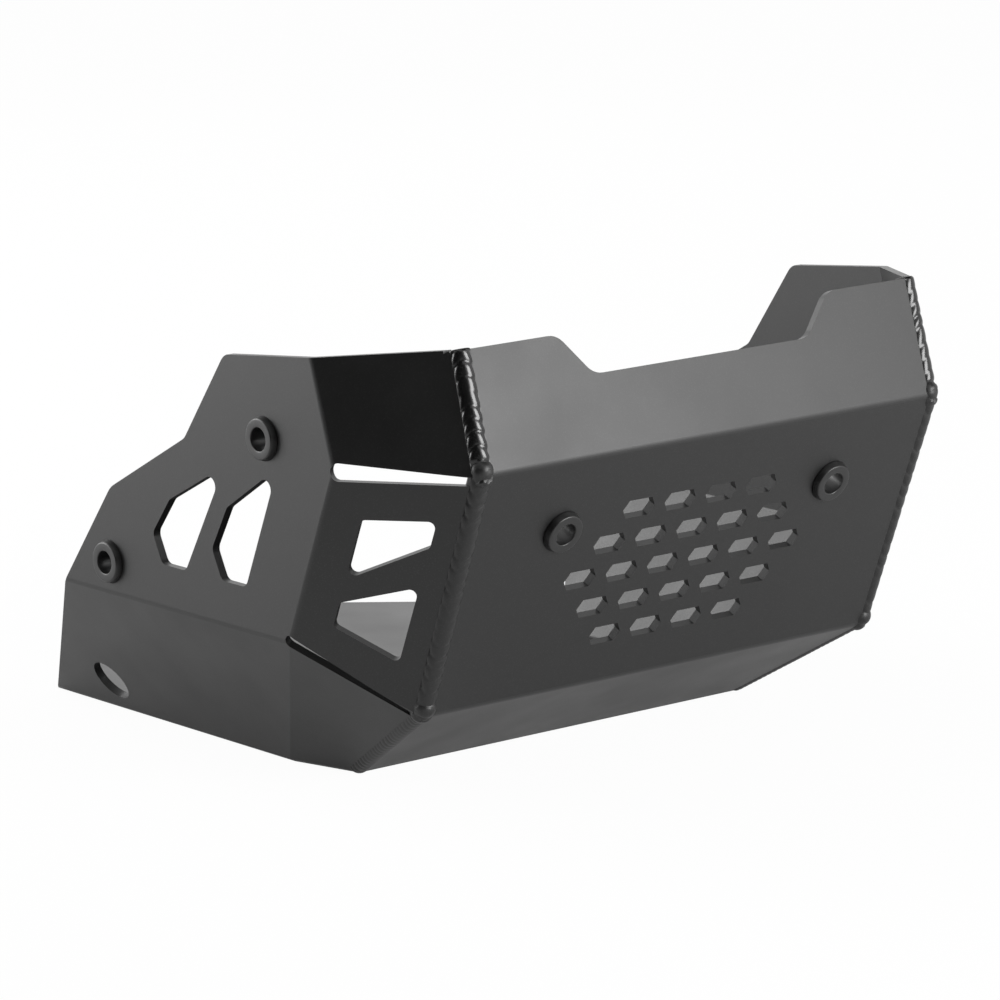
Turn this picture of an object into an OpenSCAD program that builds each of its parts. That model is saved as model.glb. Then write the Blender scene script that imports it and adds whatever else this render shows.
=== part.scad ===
// Motorcycle skid plate: a tub cut from one aluminium sheet, folded, and welded at its front corners.
// It opens upwards and to the rear, and bolts on through six rubber grommets.
// The front faces -Y, the floor lies on Z = 0, and left is -X, as seen from the front.

/* [Sheet] */
// Thickness of the sheet
sheet_t = 4; // [3:0.5:5]
// Inside radius of every fold
bend_r = 3; // [2:0.5:5]

/* [Widths] */
// Width across the upright side panels
body_w = 357; // [345:1:375]
// Distance of the floor's side folds inside the side panels
floor_inset = 48; // [42:1:54]
// Distance of the front panel's upper corners inside the side panels
nose_inset = 38.5; // [34:0.5:43]
// Distance of the front panel's lower corners inside the side panels
chin_inset = 40; // [36:0.5:44]
// Distance of the corners of the floor's front fold inside the side panels
toe_inset = 58; // [54:1:64]
// Distance of the flange's upper corners inside the side panels
crown_inset = 39.5; // [35:0.5:44]

/* [Front profile] */
// Forward reach of the sloping strip below the front panel
strip_run = 73; // [60:1:85]
// Height that the strip climbs
strip_rise = 44; // [36:1:52]
// Forward reach of the front panel
front_run = 47; // [38:1:56]
// Height of the front panel
front_rise = 120; // [112:1:130]
// How far the flange leans back
flange_lean = 16; // [8:1:24]
// Height of the flange above the front panel
flange_rise = 55; // [48:1:64]
// Width of the gap in the flange, between the tops of its two ears
gap_top_w = 167; // [150:1:185]
// Width of the gap in the flange at its foot
gap_foot_w = 132; // [110:1:145]
// Height of the flange at the foot of the gap, measured up its face
gap_foot_h = 37; // [30:1:44]
// Corner radius of the gap and the ears
gap_r = 11; // [4:1:14]

/* [Sides] */
// Height of the fold between the lower and the upright side panels
side_fold_h = 77; // [68:1:84]
// Distance behind the chin fold at which the cheek's fold meets the side fold
cheek_setback = 47; // [40:1:56]
// Height of the upper slot's end on the side panel
slot_fold_h = 162; // [154:1:170]
// Height of the shoulder, the side panel's rear top corner
shoulder_h = 205; // [198:1:211]
// Distance of the shoulder behind the toe fold
shoulder_y = 20; // [10:1:30]
// Height of the waist, where the rim turns rearwards
waist_h = 161; // [154:1:168]
// Distance of the waist behind the toe fold
waist_y = 52; // [46:1:60]
// Height of the elbow, where the rim drops to the lower side
elbow_h = 128.5; // [122:0.5:134]
// Distance of the elbow behind the toe fold
elbow_y = 112; // [104:1:122]
// Distance behind the toe fold at which the rim crosses the side fold
hip_y = 151; // [144:1:160]
// Corner radius of the shoulder
shoulder_r = 9; // [4:1:14]
// Corner radius of the waist
waist_r = 8; // [3:1:14]
// Corner radius of the elbow
elbow_r = 14; // [4:1:20]

/* [Floor] */
// Length of the floor behind the toe fold
floor_l = 288; // [275:1:305]
// Distance behind the toe fold at which the floor's width starts to taper
taper_y = 229; // [220:1:240]
// Width of the floor's straight rear edge
tail_w = 120; // [90:1:160]
// Corner radius of the floor's rear corners
tail_r = 12; // [4:1:20]
// Diameter of the drain hole in each lower side
drain_d = 23; // [16:1:28]
// Distance of the drain hole behind the toe fold
drain_y = 167; // [150:1:180]
// Distance of the drain hole from the floor's fold, up the lower side
drain_up = 21; // [18:1:40]

/* [Vents] */
// Length of a vent, point to point
vent_l = 19.2; // [14:0.2:22]
// Height of a vent
vent_h = 9.6; // [6:0.2:12]
// Spacing of the vents along a row
vent_pitch = 25.3; // [23:0.1:27]
// Spacing of the rows
vent_row = 17.2; // [14:0.1:19]
// Distance of the middle row below the nose fold, down the front panel
vent_drop = 67.7; // [60:0.1:74]

/* [Windows] */
// Distance of the cheek's windows from its fold
cheek_rear_margin = 17.5; // [12:0.5:22]
// Distance of the cheek's windows from its welded edge
cheek_front_margin = 15; // [12:0.5:20]
// Distance of the upper cheek window from the upper slot
upper_slot_margin = 24.5; // [18:0.5:28]
// Distance of the lower cheek window from the lower slot
lower_slot_margin = 19.5; // [15:0.5:23]
// Height of the upper cheek window at its rear edge
upper_rear_h = 32; // [22:0.5:35]
// Height of the upper cheek window at its front edge
upper_front_h = 14; // [12:0.5:18]
// Height of the lower cheek window at its rear edge
lower_rear_h = 13; // [9:0.5:18]
// Height of the lower cheek window at its front edge
lower_front_h = 41; // [28:0.5:44]
// Distance of the front side window's foot behind the toe fold
front_window_y = 6.5; // [2:0.5:10]
// Height of the front side window
front_window_h = 60; // [50:1:63]
// How far the front side window leans forward
front_window_lean = 25.5; // [18:0.5:29]
// Distance of the rear side window's foot behind the toe fold
rear_window_y = 53; // [48:0.5:58]
// Height of the rear side window
rear_window_h = 54.5; // [46:0.5:57]
// How far the rear side window leans forward
rear_window_lean = 31.5; // [24:0.5:33]
// Height of the side windows' foot above the ground
window_foot_h = 97.8; // [94:0.2:102]
// Width of a side window's foot
window_foot_w = 18.5; // [15:0.5:20]
// Width of a side window at its rear corner, measured from its foot
window_w = 25.7; // [22:0.1:28]
// Height of a side window's rear corner
window_corner_h = 14; // [10:0.5:18]
// Corner radius of the side windows
side_window_r = 4.5; // [2:0.5:5]
// Corner radius of the cheek's windows
cheek_window_r = 3; // [1:0.5:4]

/* [Slots] */
// Width of the upper slot at the side panel's fold
upper_slot_w = 8.5; // [5:0.5:10]
// Width of the upper slot at the weld
upper_slot_tip_w = 4; // [2:0.5:5]
// Width of the lower slot at the side panel's fold
lower_slot_w = 6; // [4:0.5:8]
// Width of the lower slot at the weld
lower_slot_tip_w = 3; // [2:0.5:4]
// Distance of the slots' tips from the corner, down the weld
slot_drop = 3; // [1:0.5:4]

/* [Welds] */
// Radius of a weld bead
bead_r = 5.4; // [5:0.1:6.5]
// How far a bead stands out past the sharp corner that it covers
bead_proud = 0.2; // [0.1:0.1:1]

/* [Grommets] */
// Bore of a grommet, a clearance hole for an M10 bolt
bore_d = 11; // [9:0.5:12]
// Diameter of a grommet's outer flange
flange_d = 21; // [19:0.5:24]
// Thickness of a grommet's outer flange
flange_t = 3.2; // [2:0.2:4]
// Diameter of a grommet's inner flange
back_d = 19.5; // [18:0.5:22]
// Thickness of a grommet's inner flange
back_t = 2.4; // [1.6:0.2:3]
// Diameter of the holes that hold the grommets
hole_d = 15; // [14:0.5:16]
// Gap between a grommet's neck and its hole
neck_gap = 0.1; // [0.05:0.05:0.2]
// Distance between the two front grommets
front_grommets_w = 166; // [156:1:176]
// Distance of the front grommets below the nose fold, down the front panel
front_grommet_drop = 38; // [32:1:44]
// Distance of the forward side grommet ahead of the toe fold
fore_grommet_y = 9; // [4:1:14]
// Height of the forward side grommet
fore_grommet_h = 170; // [166:1:178]
// Distance of the rear side grommet behind the toe fold
aft_grommet_y = 114; // [106:1:118]
// Height of the rear side grommet
aft_grommet_h = 92; // [88:1:96]

/* [Hidden] */
$fn = 64;

plate_colour = [0.20, 0.20, 0.21];
rubber_colour = [0.09, 0.09, 0.09];

// Height of a side window's brow, its upper rear corner, as a share of the window's height
brow_share = 0.59;
// How much more a side window's rear edge leans, up to its brow, than its front edge
brow_lean = 1.34;
// Angle of the steps that round the corners of the openings and rims
corner_step = 12;
// Distance of the slots' round ends from the side panel's fold
upper_slot_lead = 2;
lower_slot_lead = 0;
// Vents in each row, from the top row down
vent_rows = [4, 5, 6, 5, 4];
// Angle between a vent's pointed end and its length
vent_point = 60;
// Height of the upper bead's flat end above the rim, and the rounding of its edge
bead_over = 0.8;
bead_end_r = 1.4;
// Rounding of a grommet's rims and of its bore's mouths
rim_r = 1;
mouth_r = 0.5;

// How far a fold's arc stands out of its two faces, and the rim's plane above the flange, so that
// they meet along clear edges
fold_slack = 0.02;
// How far a cutter stands out of the face that it starts from
lip = 1;
// How deep a cutter reaches below a panel's outer face
cut_depth = sheet_t + bend_r;
// How far a block and its cutters run on past the plate's rims
spare = 10;
// Edge of the cubes that stand for half of space
half_space = 1200;

// Widths at the folds
floor_w = body_w - 2 * floor_inset;
nose_w = body_w - 2 * nose_inset;
chin_w = body_w - 2 * chin_inset;
toe_w = body_w - 2 * toe_inset;
crown_w = body_w - 2 * crown_inset;

// Points of the front profile, from the floor up
toe = [0, 0, 0];
chin = [0, -strip_run, strip_rise];
nose = [0, chin.y - front_run, chin.z + front_rise];
crown = [0, nose.y + flange_lean, nose.z + flange_rise];

// The right hand corners of the outer faces
toe_corner = toe + [toe_w / 2, 0, 0];
chin_corner = chin + [chin_w / 2, 0, 0];
nose_corner = nose + [nose_w / 2, 0, 0];
crown_corner = crown + [crown_w / 2, 0, 0];
cheek_foot = [body_w / 2, chin.y + cheek_setback, side_fold_h];

function unit(v) = v / norm(v);

// A face is a point on it and its outward normal. This one passes through three points.
function face(a, b, c) = [a, unit(cross(b - a, c - a))];

// The point where three faces meet
function meet(a, b, c) =
    (a[1] * a[0] * cross(b[1], c[1]) + b[1] * b[0] * cross(c[1], a[1]) + c[1] * c[0] * cross(a[1], b[1]))
    / (a[1] * cross(b[1], c[1]));

// A level plane at a height
function level(z) = [[0, 0, z], [0, 0, 1]];

// The point inside an edge that lies a distance from both of its faces
function inside(point, a, b, distance) = point - distance * (a[1] + b[1]) / (1 + a[1] * b[1]);

// Outer faces of the panels. Those of one side are the right hand ones.
floor_face = [toe, [0, 0, -1]];
strip_face = face(toe, chin_corner, chin);
front_face = face(chin, nose_corner, nose);
flange_face = face(nose, crown_corner, crown);
side_face = [[body_w / 2, 0, 0], [1, 0, 0]];
lower_side_face = face([floor_w / 2, 0, 0], [floor_w / 2, 1, 0], [body_w / 2, 0, side_fold_h]);
cheek_face = face(chin_corner, cheek_foot, nose_corner);
lower_cheek_face = face(chin_corner, toe_corner, cheek_foot);
cheek_top = meet(side_face, cheek_face, level(slot_fold_h));
upper_cheek_face = face(nose_corner, cheek_top, crown_corner);
// The rim of the upper cheek and of the side panel, back to the shoulder, lies in one plane
rim_face = face(crown, crown_corner, [0, shoulder_y, shoulder_h]);
floor_cheek_corner = meet(floor_face, lower_side_face, lower_cheek_face);

middle_faces = [floor_face, strip_face, front_face, flange_face];
side_faces = [side_face, lower_side_face, cheek_face, lower_cheek_face, upper_cheek_face];

// Rear and top of the block that the tub is cut from
block_rear = floor_l + spare;
block_top = max(crown.z, shoulder_h) + spare;

// The folds: their two faces and their two ends
middle_folds = [
    [floor_face, strip_face, toe, toe_corner],
    [strip_face, front_face, chin, chin_corner],
    [front_face, flange_face, nose, nose_corner]];
side_folds = [
    [side_face, upper_cheek_face, cheek_top, meet(side_face, upper_cheek_face, level(block_top))],
    [side_face, cheek_face, cheek_foot, cheek_top],
    [side_face, lower_side_face, cheek_foot, [body_w / 2, block_rear, side_fold_h]],
    [lower_side_face, lower_cheek_face, floor_cheek_corner, cheek_foot],
    [lower_cheek_face, floor_face, toe_corner, floor_cheek_corner],
    [lower_side_face, floor_face, floor_cheek_corner, [floor_w / 2, block_rear, 0]]];

// The axis of a bead runs inside its seam, so that the bead just covers the sharp corner
function weld_at(corner, a, b) = corner - (bead_r - bead_proud) * unit(a[1] + b[1]);
crown_weld = weld_at(crown_corner, flange_face, upper_cheek_face);
nose_weld_up = weld_at(nose_corner, flange_face, upper_cheek_face);
nose_weld = weld_at(nose_corner, front_face, cheek_face);
chin_weld = weld_at(chin_corner, front_face, cheek_face);
chin_weld_down = weld_at(chin_corner, strip_face, lower_cheek_face);
toe_weld = weld_at(toe_corner, strip_face, lower_cheek_face);
// The upper bead stands a little above the rim, and the lower one stops where it would pass below the floor
upper_end = crown_weld + bead_over * unit(crown_weld - nose_weld_up);
lower_end = chin_weld_down
    + (toe_weld - chin_weld_down) * (chin_weld_down.z - bead_r) / (chin_weld_down.z - toe_weld.z);

// The origin is under the middle of the whole plate
front_y = min(nose_weld.y, nose_weld_up.y) - bead_r;
middle_y = (front_y + floor_l) / 2;

// Draws its children on both sides
module both_sides() {
    children();
    mirror([1, 0, 0]) children();
}

// Puts its children's origin at a point, their X along one direction and their Z along another
module placed(at, x, z) {
    y = cross(z, x);
    multmatrix([[x.x, y.x, z.x, at.x],
                [x.y, y.y, z.y, at.y],
                [x.z, y.z, z.z, at.z],
                [0, 0, 0, 1]]) children();
}

// Frames of the panels: X and Y in the panel, Z out of it
module on_front() placed(nose, [1, 0, 0], front_face[1]) children();
module on_flange() placed(nose, [1, 0, 0], flange_face[1]) children();
module on_side() placed([body_w / 2, 0, 0], [0, 1, 0], side_face[1]) children();
module on_lower_side() placed([floor_w / 2, 0, 0], [0, 1, 0], lower_side_face[1]) children();
module on_cheek()
    placed(cheek_foot, cross(unit(cheek_top - cheek_foot), cheek_face[1]), cheek_face[1]) children();

// Cuts its outline through the sheet, from the outer face inwards
module punch() translate([0, 0, -cut_depth]) linear_extrude(cut_depth + lip) children();

// What a round corner of radius r leaves of a sharp one. The arc's centre is the origin, the
// corner lies along X, and the tangent points lie half_angle to both sides of it.
module spandrel(r, half_angle) {
    tangent = (r + lip) * [cos(half_angle), sin(half_angle)];
    difference() {
        polygon([[0, 0], tangent, [(r + lip) / cos(half_angle), 0], [tangent.x, -tangent.y]]);
        circle(r);
    }
}

// Spandrel of the corner at q, between the edges to p and s
module corner_spandrel(p, q, s, r) {
    back = unit(p - q);
    on = unit(s - q);
    into = unit(back + on);
    half_corner = acos(back * on) / 2;
    translate(q + into * r / sin(half_corner))
        rotate(atan2(-into.y, -into.x)) spandrel(r, 90 - half_corner);
}

// The corner at q between p and s, rounded in steps of about one corner_step
function rounded(p, q, s, r) = r == 0 ? [q] :
    let (back = unit(p - q),
         on = unit(s - q),
         half_corner = acos(back * on) / 2,
         centre = q + unit(back + on) * r / sin(half_corner),
         arm = q + back * r / tan(half_corner) - centre,
         turn = (180 - 2 * half_corner) * sign(cross(on, back)),
         steps = ceil(abs(turn) / corner_step))
    [for (i = [0 : steps]) let (angle = i * turn / steps)
        centre + [arm.x * cos(angle) - arm.y * sin(angle), arm.x * sin(angle) + arm.y * cos(angle)]];

// Outline with rounded corners
module outline(points, radii) {
    count = len(points);
    polygon([for (i = [0 : count - 1])
        each rounded(points[(i + count - 1) % count], points[i], points[(i + 1) % count], radii[i])]);
}

// Everything that lies outside a face, once the face has moved in by an inset
module beyond(panel, inset)
    translate(panel[0] - inset * panel[1])
        rotate([0, acos(panel[1].z), atan2(panel[1].y, panel[1].x)])
            translate([-half_space / 2, -half_space / 2, 0]) cube(half_space);

// What a fold of radius r rounds off its sharp edge
module fold_cut(fold, r) {
    a = fold[0][1];
    b = fold[1][1];
    along = unit(fold[3] - fold[2]);
    run_on = 2 * cut_depth;
    placed(inside(fold[2], fold[0], fold[1], sheet_t + bend_r - fold_slack) - run_on * along, unit(a + b), along)
        linear_extrude(norm(fold[3] - fold[2]) + 2 * run_on) spandrel(r, acos(a * b) / 2);
}

// Solid tub with rounded folds, with every face moved in by an inset. It runs past the rims.
module tub(inset) {
    fold_r = sheet_t + bend_r - inset;
    top = block_top + 3 * inset;
    rear = block_rear + 3 * inset;
    difference() {
        translate([-body_w / 2 - spare, nose.y - spare, -spare])
            cube([body_w + 2 * spare, rear - nose.y + spare, top + spare]);
        for (panel = middle_faces) beyond(panel, inset);
        both_sides() for (panel = side_faces) beyond(panel, inset);
        both_sides() for (fold = concat(middle_folds, side_folds)) fold_cut(fold, fold_r);
    }
}

// Everything above the flange's rim: two ears with a wide gap between them
module flange_rim_cut() {
    rim_h = norm(crown - nose);
    half_top = gap_top_w / 2;
    half_foot = gap_foot_w / 2;
    side = crown_w / 2 + spare;
    over = rim_h + 2 * spare;
    on_flange() punch() outline(
        [[-side, rim_h], [-half_top, rim_h], [-half_foot, gap_foot_h], [half_foot, gap_foot_h],
         [half_top, rim_h], [side, rim_h], [side, over], [-side, over]],
        [0, gap_r, gap_r, gap_r, gap_r, 0, 0, 0]);
}

// Everything behind the side panel's rim, from above the shoulder down to the side fold
module side_rim_cut() {
    above = [nose.y, block_top];
    elbow = [elbow_y, elbow_h];
    hip = [hip_y, side_fold_h];
    below = hip + lip * unit(hip - elbow);
    far = [block_rear + lip, block_top + lip];
    on_side() punch() outline(
        [above, [shoulder_y, shoulder_h], [waist_y, waist_h], elbow, below, [far.x, below.y], far,
         [above.x, far.y]],
        [0, shoulder_r, waist_r, elbow_r, 0, 0, 0, 0]);
}

// Everything behind the lower side's rim, which runs straight from the side fold to the floor
module lower_side_rim_cut() {
    slope = norm([(body_w - floor_w) / 2, side_fold_h]);
    far = block_rear + lip;
    on_lower_side() punch() polygon([[taper_y, 0], [far, 0], [far, slope], [hip_y, slope]]);
}

// Everything behind the floor's rim, which tapers to a straight rear edge
module floor_rim_cut() {
    side = floor_w / 2;
    tail = tail_w / 2;
    run_out = (floor_l - taper_y) / (side - tail);
    outer = [side + spare, taper_y - spare * run_out];
    far = block_rear + lip;
    translate([0, 0, -lip]) linear_extrude(cut_depth + lip) outline(
        [[outer.x, outer.y], [outer.x, far], [-outer.x, far], [-outer.x, outer.y],
         [-tail, floor_l], [tail, floor_l]],
        [0, 0, 0, 0, tail_r, tail_r]);
}

// Tapered slot along the edge between two faces, from a round end at the side panel's fold, whose
// centre lies a lead inside it, to a tip under the weld
module slot_cut(from, to, a, b, lead, end_w, tip_w) {
    run = norm(to - from) - sheet_t;
    placed(from, unit(to - from), unit(a[1] + b[1])) punch() {
        polygon([[lead, -end_w / 2], [run, slot_drop - tip_w / 2],
                 [run, slot_drop + tip_w / 2], [lead, end_w / 2]]);
        translate([lead, 0]) circle(end_w / 2);
    }
}

module slots() {
    slot_cut(cheek_top, nose_corner, upper_cheek_face, cheek_face,
        upper_slot_lead, upper_slot_w, upper_slot_tip_w);
    slot_cut(cheek_foot, chin_corner, cheek_face, lower_cheek_face,
        lower_slot_lead, lower_slot_w, lower_slot_tip_w);
}

// Weld bead: a round bar along a seam. Its first end is a half ball, and so is its last end,
// unless that is cut flat with a rounded edge.
module weld_bead(from, to, flat = false) {
    run = norm(to - from);
    direction = unit(to - from);
    placed(from, unit(cross(direction, [0, 1, 0])), direction) rotate_extrude() difference() {
        intersection() {
            union() {
                circle(bead_r);
                if (!flat) translate([0, run]) circle(bead_r);
                square([bead_r, run]);
            }
            translate([0, -bead_r]) square([bead_r, run + 2 * bead_r]);
        }
        if (flat) corner_spandrel([bead_r, 0], [bead_r, run], [0, run], bead_end_r);
    }
}

module welds() {
    weld_bead(nose_weld_up, upper_end, flat = true);
    weld_bead(nose_weld, chin_weld);
    weld_bead(chin_weld_down, lower_end);
}

// Rows of long hexagons, each row set over by half a pitch
module vents() {
    point_l = vent_h / 2 / tan(vent_point);
    half_l = vent_l / 2;
    half_h = vent_h / 2;
    middle_row = (len(vent_rows) - 1) / 2;
    on_front() for (row = [0 : len(vent_rows) - 1], i = [0 : vent_rows[row] - 1])
        translate([(i - (vent_rows[row] - 1) / 2) * vent_pitch, -vent_drop - (row - middle_row) * vent_row])
            punch() polygon([[-half_l, 0], [point_l - half_l, -half_h], [half_l - point_l, -half_h],
                             [half_l, 0], [half_l - point_l, half_h], [point_l - half_l, half_h]]);
}

// The two windows of the cheek, one above the other, with a slanting web between them.
// Their outer edges run along the slots.
module cheek_windows() {
    fold_l = norm(cheek_top - cheek_foot);
    up = unit(cheek_top - cheek_foot);
    across = cross(up, cheek_face[1]);
    // Corners of the cheek in its own frame, in which it lies on the negative side of the fold
    top_slope = (nose_corner - cheek_top) * up / ((nose_corner - cheek_top) * across);
    foot_slope = (chin_corner - cheek_foot) * up / ((chin_corner - cheek_foot) * across);
    rear_x = -cheek_rear_margin;
    front_x = (nose_corner - cheek_foot) * across + cheek_front_margin;
    function top_at(x) = fold_l + top_slope * x - upper_slot_margin;
    function foot_at(x) = foot_slope * x + lower_slot_margin;
    radii = [for (i = [0 : 3]) cheek_window_r];
    on_cheek() punch() {
        outline([[front_x, top_at(front_x) - upper_front_h], [rear_x, top_at(rear_x) - upper_rear_h],
                 [rear_x, top_at(rear_x)], [front_x, top_at(front_x)]], radii);
        outline([[front_x, foot_at(front_x)], [rear_x, foot_at(rear_x)],
                 [rear_x, foot_at(rear_x) + lower_rear_h],
                 [front_x, foot_at(front_x) + lower_front_h]], radii);
    }
}

// Five-sided window of the side, which leans forward from its foot
module side_window(y, height, lean) {
    brow_h = brow_share * height;
    brow_w = window_w - brow_lean * lean / height * (brow_h - window_corner_h);
    on_side() translate([y, window_foot_h]) punch()
        outline([[0, 0], [window_foot_w, 0], [window_w, window_corner_h], [brow_w, brow_h], [-lean, height]],
                [for (i = [0 : 4]) side_window_r]);
}

module side_windows() {
    side_window(front_window_y, front_window_h, front_window_lean);
    side_window(rear_window_y, rear_window_h, rear_window_lean);
}

// The places of the grommets: a hole's centre on the outer face, and that face's frame
module at_front_grommet() on_front() translate([front_grommets_w / 2, -front_grommet_drop, 0]) children();
module at_fore_grommet() on_side() translate([-fore_grommet_y, fore_grommet_h, 0]) children();
module at_aft_grommet() on_side() translate([aft_grommet_y, aft_grommet_h, 0]) children();

module grommet_holes() {
    at_front_grommet() punch() circle(d = hole_d);
    at_fore_grommet() punch() circle(d = hole_d);
    at_aft_grommet() punch() circle(d = hole_d);
}

module drain_hole() on_lower_side() translate([drain_y, drain_up]) punch() circle(d = drain_d);

// The folded sheet inside its rims, with the weld beads on its front corners
module welded_tub() difference() {
    union() {
        difference() {
            tub(0);
            beyond(rim_face, -fold_slack);
            flange_rim_cut();
            floor_rim_cut();
            both_sides() {
                side_rim_cut();
                lower_side_rim_cut();
                slots();
            }
        }
        both_sides() welds();
    }
    tub(sheet_t);
}

module skid_plate() color(plate_colour) translate([0, -middle_y, 0]) difference() {
    welded_tub();
    vents();
    both_sides() {
        cheek_windows();
        side_windows();
        grommet_holes();
        drain_hole();
    }
}

// Rubber grommet in a hole of the sheet. Z = 0 is the sheet's outer face, and +Z points outwards.
module grommet() color(rubber_colour) {
    bore = bore_d / 2;
    neck = hole_d / 2 - neck_gap;
    back = -sheet_t - back_t;
    back_rim = [back_d / 2, back];
    front_rim = [flange_d / 2, flange_t];
    back_mouth = [bore, back];
    front_mouth = [bore, flange_t];
    rotate_extrude() difference() {
        polygon([back_mouth, back_rim, [back_rim.x, -sheet_t], [neck, -sheet_t],
                 [neck, 0], [front_rim.x, 0], front_rim, front_mouth]);
        corner_spandrel(back_mouth, back_rim, [back_rim.x, 0], rim_r);
        corner_spandrel([front_rim.x, 0], front_rim, front_mouth, rim_r);
        corner_spandrel(front_rim, front_mouth, back_mouth, mouth_r);
        corner_spandrel(front_mouth, back_mouth, back_rim, mouth_r);
    }
}

module grommet_front_right() translate([0, -middle_y, 0]) at_front_grommet() grommet();
module grommet_fore_right() translate([0, -middle_y, 0]) at_fore_grommet() grommet();
module grommet_aft_right() translate([0, -middle_y, 0]) at_aft_grommet() grommet();
module grommet_front_left() mirror([1, 0, 0]) grommet_front_right();
module grommet_fore_left() mirror([1, 0, 0]) grommet_fore_right();
module grommet_aft_left() mirror([1, 0, 0]) grommet_aft_right();

skid_plate();
grommet_front_left();
grommet_front_right();
grommet_fore_left();
grommet_fore_right();
grommet_aft_left();
grommet_aft_right();
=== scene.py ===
import contextlib
import math

import bmesh
import bpy
from mathutils import Matrix, Vector


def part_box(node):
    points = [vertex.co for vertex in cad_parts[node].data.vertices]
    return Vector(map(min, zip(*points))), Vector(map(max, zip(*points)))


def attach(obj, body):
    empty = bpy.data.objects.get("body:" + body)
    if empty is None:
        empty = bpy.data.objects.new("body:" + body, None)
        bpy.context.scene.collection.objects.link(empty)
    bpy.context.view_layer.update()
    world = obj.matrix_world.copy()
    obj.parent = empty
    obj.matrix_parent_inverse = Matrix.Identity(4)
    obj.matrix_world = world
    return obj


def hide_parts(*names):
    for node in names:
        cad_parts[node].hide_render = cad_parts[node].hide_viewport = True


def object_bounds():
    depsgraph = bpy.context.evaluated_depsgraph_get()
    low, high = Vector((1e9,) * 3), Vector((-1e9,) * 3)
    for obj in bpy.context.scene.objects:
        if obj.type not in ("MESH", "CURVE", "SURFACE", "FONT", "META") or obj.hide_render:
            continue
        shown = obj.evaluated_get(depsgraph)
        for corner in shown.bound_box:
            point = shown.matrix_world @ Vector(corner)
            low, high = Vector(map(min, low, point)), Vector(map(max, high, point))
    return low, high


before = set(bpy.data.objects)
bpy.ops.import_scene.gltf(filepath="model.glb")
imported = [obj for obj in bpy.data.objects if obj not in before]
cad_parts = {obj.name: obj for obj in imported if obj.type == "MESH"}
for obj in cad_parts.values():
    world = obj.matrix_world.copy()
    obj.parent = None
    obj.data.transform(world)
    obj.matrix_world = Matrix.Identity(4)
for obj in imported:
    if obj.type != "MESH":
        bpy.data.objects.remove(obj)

bl_info = {
    "name": "Motorcycle Skid Plate",
    "version": (1, 0, 0),
    "blender": (4, 5, 0),
    "location": "View3D > Sidebar > Skid Plate",
    "description": "Finishes a folded and welded skid plate: softened edges, weld ripples, "
                   "rubber grommets, powder coat",
    "category": "Add Mesh",
}

CAD_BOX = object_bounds()
GROMMETS = ["grommet_front_left", "grommet_front_right", "grommet_fore_left",
            "grommet_fore_right", "grommet_aft_left", "grommet_aft_right"]

MM = 0.001
SHEET = 4 * MM
BEAD_R, BEAD_PROUD = 5.4 * MM, 0.2 * MM

# Corners of the folded sheet's outer faces on the right hand side, in mm from the toe fold.
# The left hand side mirrors them.
MIDDLE_Y = 83.4475
TOE, CHIN = Vector((120.5, 0, 0)), Vector((138.5, -73, 44))
NOSE, CROWN = Vector((140, -120, 164)), Vector((139, -104, 219))
CHEEK_FOOT = Vector((178.5, -26, 77))
CHEEK_TOP = Vector((178.5, -60.9, 162))

# Vertices nearer than the first are merged, and faces thinner than the second are closed up
SAME_PLACE, TOO_THIN = 0.002 * MM, 0.001 * MM

# Edges of the plate that turn by more than the first are rounded, and faces that turn by less
# than the second become one. A face over the area is part of a flat panel, and faces shade as
# one surface when the cosine between them is over the last.
ROUNDED_ANGLE, FLAT_ANGLE = math.radians(35), math.radians(0.2)
PANEL_AREA = 220 * MM * MM
ONE_SURFACE = 0.6
# A vertex lies on a bead's round between these shares of its radius, and this far off its panels
ON_ROUND, OFF_PANEL = (0.9, 1.004), 0.004 * MM

# The weld skins: how far past the nose the upper beads start, in bead radii, and how far past
# the crown they end, in mm, then the small round of that end and the least radius at any end
UPPER_START, UPPER_END = 1.6, 0.8
UPPER_CURL, LEAST_R = 1.4 * MM, 0.06 * MM
TUBE_POINTS = 40
# Ripples: the length over which their spacing and depth vary, how much of a pitch they wander,
# how they trail with the angle from the crest, how sharp the dips between them are, and the
# factor and offset by which their depth varies along the bead and towards its sides
WANDER_SIZE, SWELL_SIZE = 9 * MM, 14 * MM
WANDER, TRAIL_POWER, DIP_POWER = 0.8, 1.3, 2.2
SWELL_DEPTH, SIDE_DEPTH = (2.6, -0.3), (0.55, 0.65)
# The skins stay this far short of the sheet's inner faces and inside the CAD model's box
BACKING, BOX_GAP = 0.3 * MM, 0.02 * MM

# Rear and front end of a grommet, in mm from the sheet's outer face
GROMMET_BACK, GROMMET_FRONT = -6.4, 3.2
ARC_STEPS, TURN_STEPS = 6, 96

# The stage, in metres. The floor lies just under the plate, so that they don't share a plane.
FLOOR_HALF, FLOOR_Z = 15.0, -0.1 * MM
# How much of plain white the floor and the world show to the camera and in mirrored rays
WHITE = (1, 1, 1, 1)
FLOOR_WHITE, WORLD_WHITE = (0.965, 0.24), (1.0, 1.0)
# Name, place, width and height of each soft light, and the setting with its power
LIGHTS = (("front_light", (0.68, -2.0, 0.66), 1.2, 1.0, "key"),
          ("side_light", (-1.45, 1.85, 0.62), 1.4, 1.0, "side"),
          ("rear_light", (-0.65, 1.75, 1.35), 1.1, 1.0, "rear"),
          ("far_light", (1.2, 1.5, 0.85), 1.2, 1.0, "far"))
LIGHTS_AIM = Vector((0, 0, 0.12))
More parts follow.
